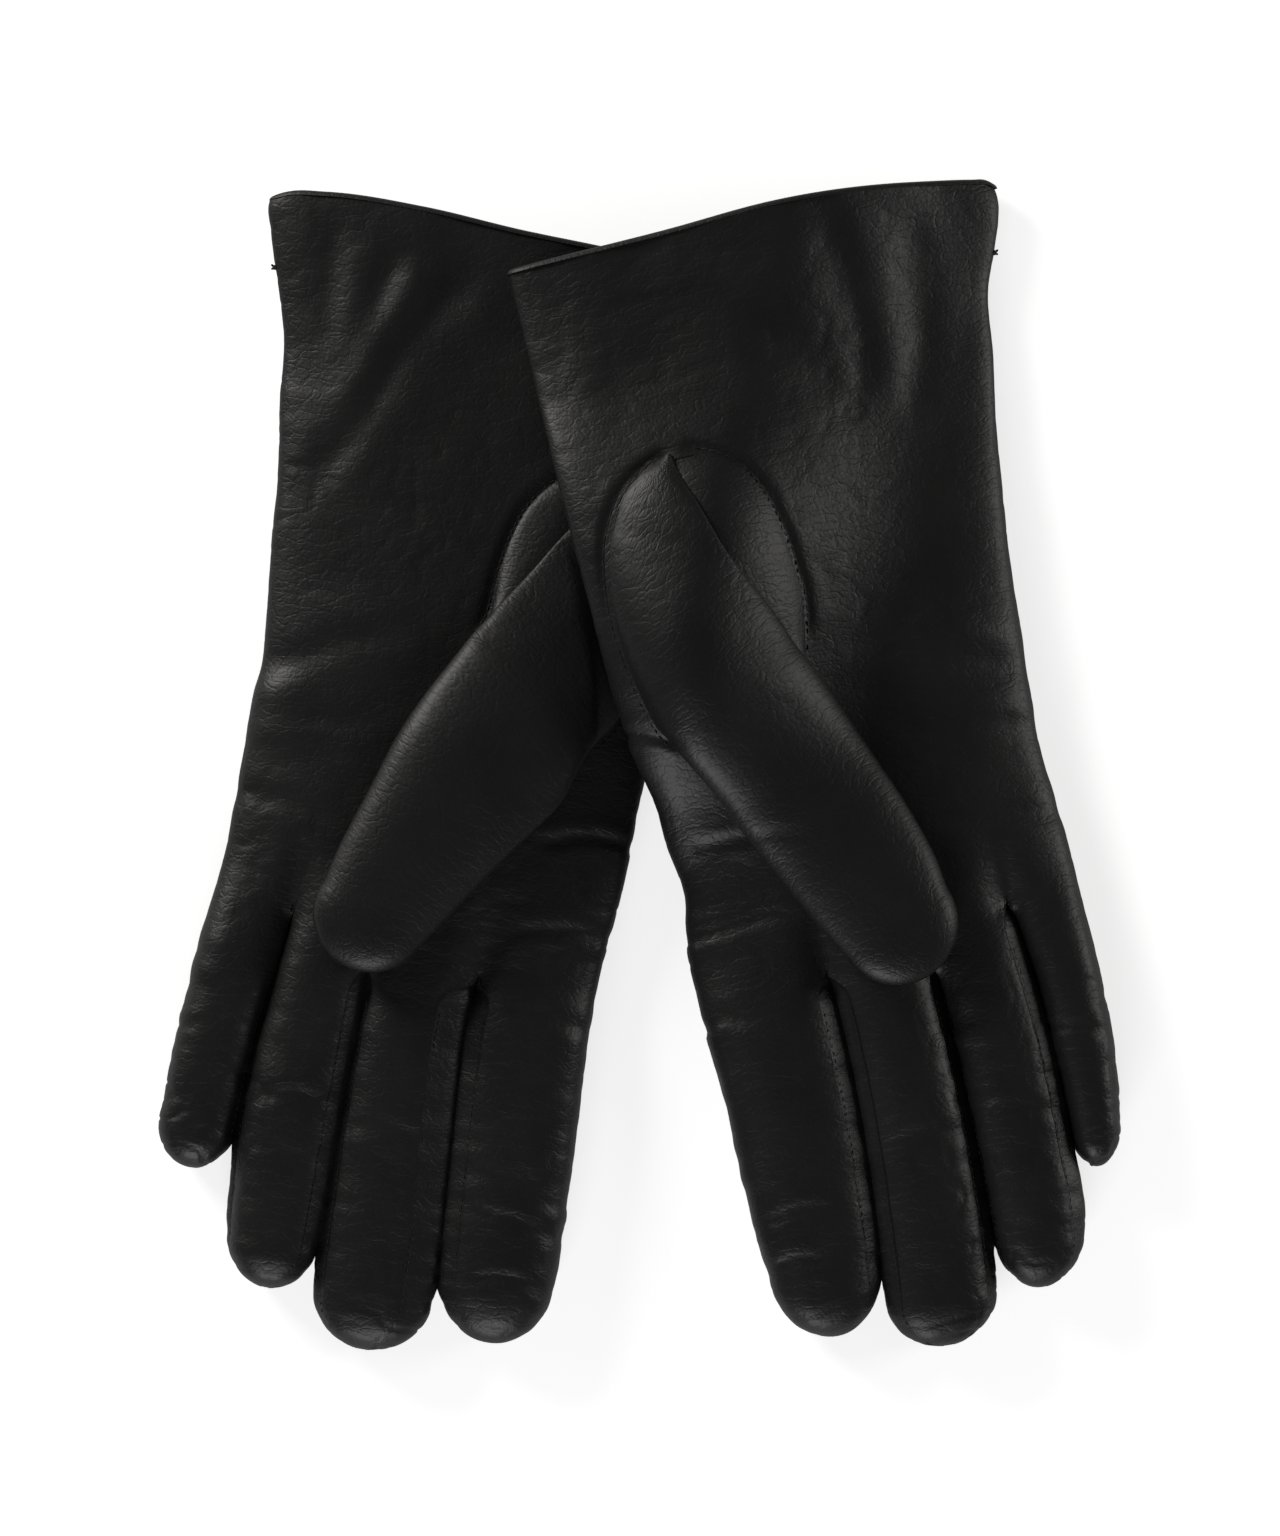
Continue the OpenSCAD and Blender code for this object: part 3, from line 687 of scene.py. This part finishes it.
def stitch_piece(name, runs, pitch, length, radius, material):
    """Stitches along runs of (points, normals), as one mesh."""
    points = []
    faces = []
    count = 0
    for line, up in runs:
        step = np.linalg.norm(np.diff(line, axis=0), axis=1)
        s = np.concatenate([[0], np.cumsum(step)])
        for at in np.arange(pitch * 0.5, s[-1] - length, pitch):
            ends = [np.array([np.interp(d, s, line[:, k]) for k in range(3)]) for d in (at, at + length)]
            n = np.array([np.interp(at, s, up[:, k]) for k in range(3)])
            pts, quads = capsule(ends[0] + n * radius * 0.3, ends[1] + n * radius * 0.3, radius)
            points.append(pts)
            faces.append(quads + count)
            count += len(pts)
    return mesh_piece(name, np.concatenate(points), np.concatenate(faces), None, None, material)


def nodes_of(material):
    material.use_nodes = True
    tree = material.node_tree
    return tree, tree.nodes["Principled BSDF"]


def node(tree, kind, **inputs):
    n = tree.nodes.new(kind)
    for key, value in inputs.items():
        n.inputs[key.replace("_", " ")].default_value = value
    return n


def ramp(tree, source, stops):
    n = tree.nodes.new("ShaderNodeValToRGB")
    n.color_ramp.elements[0].position = stops[0][0]
    n.color_ramp.elements[0].color = (*stops[0][1], 1)
    n.color_ramp.elements[1].position = stops[1][0]
    n.color_ramp.elements[1].color = (*stops[1][1], 1)
    tree.links.new(source, n.inputs["Fac"])
    return n


def leather_material(name, base, worn, roughness):
    """Black nappa: fine pebbled grain, hair-thin wrinkles and slightly lighter worn places."""
    material = bpy.data.materials.new(name)
    tree, shader = nodes_of(material)
    link = tree.links.new
    coord = tree.nodes.new("ShaderNodeUVMap")
    coord.uv_map = "leather"
    place = coord.outputs["UV"]
    grain = node(tree, "ShaderNodeTexVoronoi", Scale=1250.0, Randomness=1.0)
    grain.feature = "SMOOTH_F1"
    grain.inputs["Smoothness"].default_value = 0.35
    link(place, grain.inputs["Vector"])
    pores = node(tree, "ShaderNodeTexNoise", Scale=2300.0, Detail=3.0, Roughness=0.6)
    link(place, pores.inputs["Vector"])
    stretch = tree.nodes.new("ShaderNodeMapping")
    stretch.inputs["Scale"].default_value = (0.42, 1.0, 1.0)
    link(place, stretch.inputs["Vector"])
    lines = node(tree, "ShaderNodeTexVoronoi", Scale=420.0, Randomness=1.0)
    lines.feature = "DISTANCE_TO_EDGE"
    warp = node(tree, "ShaderNodeTexNoise", Scale=180.0, Detail=3.0)
    link(place, warp.inputs["Vector"])
    bend = tree.nodes.new("ShaderNodeVectorMath")
    bend.operation = "MULTIPLY_ADD"
    bend.inputs[1].default_value = (0.004, 0.004, 0.004)
    link(warp.outputs["Color"], bend.inputs[0])
    link(stretch.outputs["Vector"], bend.inputs[2])
    link(bend.outputs["Vector"], lines.inputs["Vector"])
    thin = ramp(tree, lines.outputs["Distance"], [(0.0, (0, 0, 0)), (0.12, (1, 1, 1))])
    area = node(tree, "ShaderNodeTexNoise", Scale=38.0, Detail=4.0, Roughness=0.55)
    link(place, area.inputs["Vector"])
    tone = ramp(tree, area.outputs["Fac"], [(0.35, base), (0.75, worn)])
    link(tone.outputs["Color"], shader.inputs["Base Color"])
    rough = tree.nodes.new("ShaderNodeMapRange")
    rough.inputs["To Min"].default_value = roughness - 0.05
    rough.inputs["To Max"].default_value = roughness + 0.09
    link(area.outputs["Fac"], rough.inputs["Value"])
    link(rough.outputs["Result"], shader.inputs["Roughness"])
    bumps = None
    for source, strength, distance in ((grain.outputs["Distance"], 0.42, 0.00011),
                                       (pores.outputs["Fac"], 0.25, 0.00006),
                                       (thin.outputs["Color"], 0.3, 0.00014),
                                       (area.outputs["Fac"], 0.22, 0.0004)):
        bump = node(tree, "ShaderNodeBump", Strength=strength, Distance=distance)
        link(source, bump.inputs["Height"])
        if bumps:
            link(bumps.outputs["Normal"], bump.inputs["Normal"])
        bumps = bump
    link(bumps.outputs["Normal"], shader.inputs["Normal"])
    shader.inputs["Specular IOR Level"].default_value = 0.5
    shader.inputs["Sheen Weight"].default_value = 0.0
    shader.inputs["Sheen Roughness"].default_value = 0.5
    shader.inputs["Coat Weight"].default_value = 0.05
    shader.inputs["Coat Roughness"].default_value = 0.33
    return material


def knit_material():
    """Charcoal knitted lining: fine ribs crossed by rows of loops."""
    material = bpy.data.materials.new("charcoal_knit")
    tree, shader = nodes_of(material)
    link = tree.links.new
    coord = tree.nodes.new("ShaderNodeUVMap")
    coord.uv_map = "leather"
    ribs = node(tree, "ShaderNodeTexWave", Scale=260.0, Distortion=1.2, Detail=2.0)
    loops = node(tree, "ShaderNodeTexWave", Scale=330.0, Distortion=2.0, Detail=2.0)
    loops.bands_direction = "Y"
    fuzz = node(tree, "ShaderNodeTexNoise", Scale=900.0, Detail=4.0)
    for n in (ribs, loops, fuzz):
        link(coord.outputs["UV"], n.inputs["Vector"])
    mix = tree.nodes.new("ShaderNodeMath")
    mix.operation = "MULTIPLY"
    link(ribs.outputs["Fac"], mix.inputs[0])
    link(loops.outputs["Fac"], mix.inputs[1])
    tone = ramp(tree, fuzz.outputs["Fac"], [(0.3, (0.016, 0.016, 0.018)), (0.75, (0.045, 0.045, 0.048))])
    link(tone.outputs["Color"], shader.inputs["Base Color"])
    shader.inputs["Roughness"].default_value = 0.9
    shader.inputs["Sheen Weight"].default_value = 0.35
    bump = node(tree, "ShaderNodeBump", Strength=0.6, Distance=0.0004)
    link(mix.outputs["Value"], bump.inputs["Height"])
    link(bump.outputs["Normal"], shader.inputs["Normal"])
    return material


def thread_material():
    """Black sewing thread with the slant of its twist."""
    material = bpy.data.materials.new("sewing_thread")
    tree, shader = nodes_of(material)
    link = tree.links.new
    coord = tree.nodes.new("ShaderNodeTexCoord")
    twist = node(tree, "ShaderNodeTexWave", Scale=2200.0, Distortion=0.6)
    twist.bands_direction = "DIAGONAL"
    link(coord.outputs["Object"], twist.inputs["Vector"])
    tone = ramp(tree, twist.outputs["Fac"], [(0.2, (0.006, 0.006, 0.007)), (0.9, (0.03, 0.03, 0.032))])
    link(tone.outputs["Color"], shader.inputs["Base Color"])
    shader.inputs["Roughness"].default_value = 0.6
    shader.inputs["Sheen Weight"].default_value = 0.0
    bump = node(tree, "ShaderNodeBump", Strength=0.4, Distance=0.0001)
    link(twist.outputs["Fac"], bump.inputs["Height"])
    link(bump.outputs["Normal"], shader.inputs["Normal"])
    return material


NAPPA = leather_material("black_nappa", (0.0078, 0.0073, 0.0074), (0.0122, 0.0113, 0.011), 0.45)
HEM_LEATHER = leather_material("hem_leather", (0.009, 0.0086, 0.0088), (0.016, 0.015, 0.015), 0.5)
KNIT = knit_material()
THREAD = thread_material()


def place(glove, obj, part, slot):
    """Rides a piece with its glove's hand body, by its part's name; finger and thumb pieces stay where they
    are built.
    """
    side = glove["name"]
    finger = next((f for f in FINGERS if part.startswith(f)), None)
    if finger:
        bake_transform(obj)
    elif part.startswith("thumb") and "root" not in part and "gusset" not in part:
        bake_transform(obj)
    else:
        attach(obj, f"{side}_hand")


def facing_piece(glove):
    """The hem: the leather rolls over at the cuff's end and runs back inside."""
    name = f"{glove['name']}_cuff_facing"
    part = Skin()
    d = np.linspace(0, HEM, 16)
    roll = np.radians(np.linspace(0, 180, 9))
    loops = []
    for top in (True, False):
        for i in range(4) if top else range(3, -1, -1):
            t = np.linspace(0, 1, COLUMNS[i]) if top else np.linspace(1, 0, COLUMNS[i])
            a0, a1 = shares(glove, i)
            y = curve(glove["cuff"], a0 + (a1 - a0) * eased(i, t))
            loops.append(np.stack([glove_point(glove, i, t, y - s, top) for s in d])[:, :-1])
    outer = np.concatenate(loops, 1)
    outer = np.concatenate([outer, outer[:, :1]], 1)
    along = np.roll(outer[:, :-1], -1, 1) - np.roll(outer[:, :-1], 1, 1)
    along = np.concatenate([along, along[:, :1]], 1)
    inward = np.stack([along[..., 2], 0 * along[..., 0], -along[..., 0]], -1)
    inward = inward / np.maximum(1e-6, np.linalg.norm(inward, axis=-1, keepdims=True))
    if inward[0, 20, 2] > 0:
        inward = -inward
    first = []
    for r in roll:
        over = np.array([0, HEM_ROLL * math.sin(r), 0])
        first.append(outer[0] + inward[0] * HEM_ROLL * (1 - math.cos(r)) + over)
    rest = [outer[k] + inward[k] * 2 * HEM_ROLL for k in range(1, 16)]
    grid = np.stack(first + rest)
    part.add(grid, "cuff_facing", plan_uv(grid), flip=True)
    part.weld()
    part.back = part.n[:, 2] < -2
    finish_skin(glove, part, 0)
    obj = leather_piece(part, ["cuff_facing"], name, 0.5, HEM_LEATHER)
    place(glove, obj, "cuff_facing", "leather")
    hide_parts(name)


def side_tack(glove):
    """The knot of thread at the hem's side seam, with its two cut ends."""
    side = glove["name"]
    y = glove["tack_y"]
    x = float(curve(glove["ulnar"], y))
    centre = np.array([x - 0.25, y, 5.5])
    rng = np.random.default_rng(3)
    points = []
    faces = []
    count = 0
    for k in range(5):
        turn = math.radians(70 * k)
        reach = np.array([0.5 * math.cos(turn), 0.6 * math.sin(turn), 0.4 * math.sin(turn * 2)])
        pts, quads = capsule(centre - reach, centre + reach, 0.5, 8)
        points.append(pts)
        faces.append(quads + count)
        count += len(pts)
    for dx, dy, dz in ((1.1, 0.6, 0.5), (0.9, -0.6, -0.4)):
        stop = centre + np.array([dx, dy, dz]) * (0.9 + 0.2 * rng.random())
        pts, quads = capsule(centre, stop, 0.3, 8)
        points.append(pts)
        faces.append(quads + count)
        count += len(pts)
    obj = mesh_piece(f"{side}_side_tack", world(glove, np.concatenate(points)), np.concatenate(faces),
                     None, None, THREAD)
    place(glove, obj, "side_tack", "thread")
    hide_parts(f"{side}_side_tack")


def lining_pieces(glove, skin, thumb):
    """Knitted lining inside the hand, each finger and the thumb, a little under the leather."""
    side = glove["name"]
    inside = skin.local[skin.f].mean(1)
    hand = (skin.names == "hand_leather") & (inside[:, 1] < 116)
    groups = {"hand_lining": hand}
    for finger in FINGERS:
        groups[f"{finger}_lining"] = np.char.startswith(skin.names.astype(str), finger)
    for part, chosen in groups.items():
        other = Skin()
        other.p, other.n, other.uv, other.f = skin.p, skin.n, skin.uv, skin.f[chosen]
        other.names = skin.names[chosen]
        obj = leather_piece(other, list(set(other.names)), f"{side}_{part}", 0.35, KNIT, LINING_DEPTH)
        place(glove, obj, part, "lining")
        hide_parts(f"{side}_{part}")
    height = thumb.local[thumb.f].mean(1)
    height = height[:, 2] - palm_z(glove, height[:, 0], height[:, 1])
    arched = (height > ROOT_LINING_FROM) & (thumb.n[thumb.f].mean(1)[:, 2] > 0.3)
    for part, source in (("thumb_root_lining", "thumb_root"), ("thumb_lining", "thumb_leather")):
        other = Skin()
        chosen = arched | (thumb.names != "thumb_root")
        other.p, other.n, other.uv, other.f = thumb.p, thumb.n, thumb.uv, thumb.f[chosen]
        other.names = thumb.names[chosen]
        obj = leather_piece(other, [source], f"{side}_{part}", 0.35, KNIT, LINING_DEPTH)
        place(glove, obj, part, "lining")
        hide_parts(f"{side}_{part}")


def seam_runs(skin, glove, tree, points):
    """A run of stitches over the surface along plan points."""
    line = []
    up = []
    for x, y in points:
        z = float(palm_z(glove, np.array(x), np.array(y)))
        target = world(glove, np.array([x, y, z]))
        _, k, _ = tree.find(target)
        line.append(np.array([target[0], target[1], skin.p[k][2]]))
        up.append(skin.n[k])
    return np.array(line), np.array(up)


def finger_seams(glove):
    """Stitches along each finger's palm seams, which close the leaves onto the side strips."""
    side = glove["name"]
    for i, finger in enumerate(FINGERS):
        runs = []
        tip = glove["fingers"][i][0]
        seam_l, seam_r = glove["fingers"][i][4:6]
        for outer, angle in ((False, seam_l + 5), (True, seam_r - 5)):
            if (i == 0 and not outer) or (i == 3 and outer):
                continue
            fork = glove["forks"][i if outer else i - 1][1]
            y = np.linspace(fork - 7, tip + 7, 60)
            p = finger_surface(glove, i, angle + 0 * y, y)
            q = finger_surface(glove, i, angle + 4 + 0 * y, y)
            side_way = np.cross(q - p, [0, -1, 0])
            up = side_way / np.linalg.norm(side_way, axis=1, keepdims=True)
            up = up * np.sign(up[:, 2:3])
            if glove["side"] < 0:
                up = up * np.array([-1, 1, 1])
            runs.append((world(glove, p) - up * 0.1, up))
        obj = stitch_piece(f"{side}_{finger}_seam_stitches", runs, 1.9, 1.0, 0.11, THREAD)
        place(glove, obj, finger, "thread")


def build_glove(glove):
    side = glove["name"]
    skin = build_hand(glove)
    dent_seams(skin)
    cut_thumb_hole(glove, skin)
    finish_skin(glove, skin)
    parts = sorted(set(skin.names))
    for part in parts:
        name = f"{side}_{part}"
        obj = leather_piece(skin, [part], name, LEATHER, NAPPA)
        place(glove, obj, part, "leather")
        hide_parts(name)
    thumb = build_thumb(glove)
    finish_skin(glove, thumb, 0.4)
    for part in ("thumb_root", "thumb_leather"):
        name = f"{side}_{part}"
        obj = leather_piece(thumb, [part], name, LEATHER, NAPPA)
        place(glove, obj, part, "leather")
        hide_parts(name)
    gusset = build_gusset(glove)
    finish_skin(glove, gusset, 0.2)
    obj = leather_piece(gusset, ["thumb_gusset"], f"{side}_thumb_gusset", 0.5, NAPPA)
    place(glove, obj, "thumb_gusset", "leather")
    lining_pieces(glove, skin, thumb)
    facing_piece(glove)
    side_tack(glove)
    tree = KDTree(len(skin.p))
    for k, p in enumerate(skin.p):
        tree.insert(p, k)
    tree.balance()
    runs = [seam_runs(skin, glove, tree, line) for line in thumb_seam(glove)]
    obj = stitch_piece(f"{side}_thumb_seam_stitches", runs, 2.0, 1.25, 0.16, THREAD)
    place(glove, obj, "hand", "thread")
    finger_seams(glove)


def area_light(name, where, target, size, power, colour):
    data = bpy.data.lights.new(name, "AREA")
    data.shape = "RECTANGLE"
    data.size = size[0]
    data.size_y = size[1]
    data.energy = power
    data.color = colour
    obj = bpy.data.objects.new(name, data)
    obj.location = where
    obj.rotation_euler = (Vector(target) - Vector(where)).to_track_quat("-Z", "Y").to_euler()
    bpy.context.scene.collection.objects.link(obj)


def build_stage():
    """A pale floor, a pale world, soft lights and a camera straight above."""
    mesh = bpy.data.meshes.new("floor")
    corners = [(x, y, FLOOR_Z) for x, y in ((-3, -3), (3, -3), (3, 3), (-3, 3))]
    mesh.from_pydata(corners, [], [(0, 1, 2, 3)])
    floor = bpy.data.objects.new("floor", mesh)
    bpy.context.scene.collection.objects.link(floor)
    material = bpy.data.materials.new("pale_floor")
    tree, shader = nodes_of(material)
    shader.inputs["Base Color"].default_value = (0.92, 0.92, 0.92, 1)
    shader.inputs["Roughness"].default_value = 0.8
    shader.inputs["Specular IOR Level"].default_value = 0.1
    shader.inputs["Emission Color"].default_value = (1, 1, 1, 1)
    seen = tree.nodes.new("ShaderNodeLightPath")
    glow = tree.nodes.new("ShaderNodeMapRange")
    glow.inputs["To Min"].default_value = 0.12
    glow.inputs["To Max"].default_value = 0.72
    tree.links.new(seen.outputs["Is Camera Ray"], glow.inputs["Value"])
    tree.links.new(glow.outputs["Result"], shader.inputs["Emission Strength"])
    mesh.materials.append(material)
    sky = bpy.data.worlds.new("studio")
    sky.use_nodes = True
    sky.node_tree.nodes["Background"].inputs["Color"].default_value = (1, 1, 1, 1)
    sky.node_tree.nodes["Background"].inputs["Strength"].default_value = 0.05
    bpy.context.scene.world = sky
    area_light("key", (-0.9, 0.85, 0.5), (0, 0, 0), (0.45, 0.45), 9, (1, 0.985, 0.96))
    area_light("fill", (1.25, 0.2, 0.42), (0, 0, 0), (0.4, 0.45), 3.6, (1, 0.98, 0.96))
    area_light("low", (-0.2, -1.15, 0.5), (0, 0, 0), (0.6, 0.3), 5, (0.98, 0.99, 1))
    data = bpy.data.cameras.new("camera")
    data.sensor_fit = "VERTICAL"
    data.sensor_height = 36
    distance = 1.25
    data.lens = 36 * (distance - 0.012) / (1536 * 0.000245)
    camera = bpy.data.objects.new("camera", data)
    camera.location = (0, 0, distance)
    bpy.context.scene.collection.objects.link(camera)
    bpy.context.scene.camera = camera
    bpy.context.scene.view_settings.view_transform = "Standard"


for each in (LEFT, RIGHT):
    build_glove(each)
build_stage()
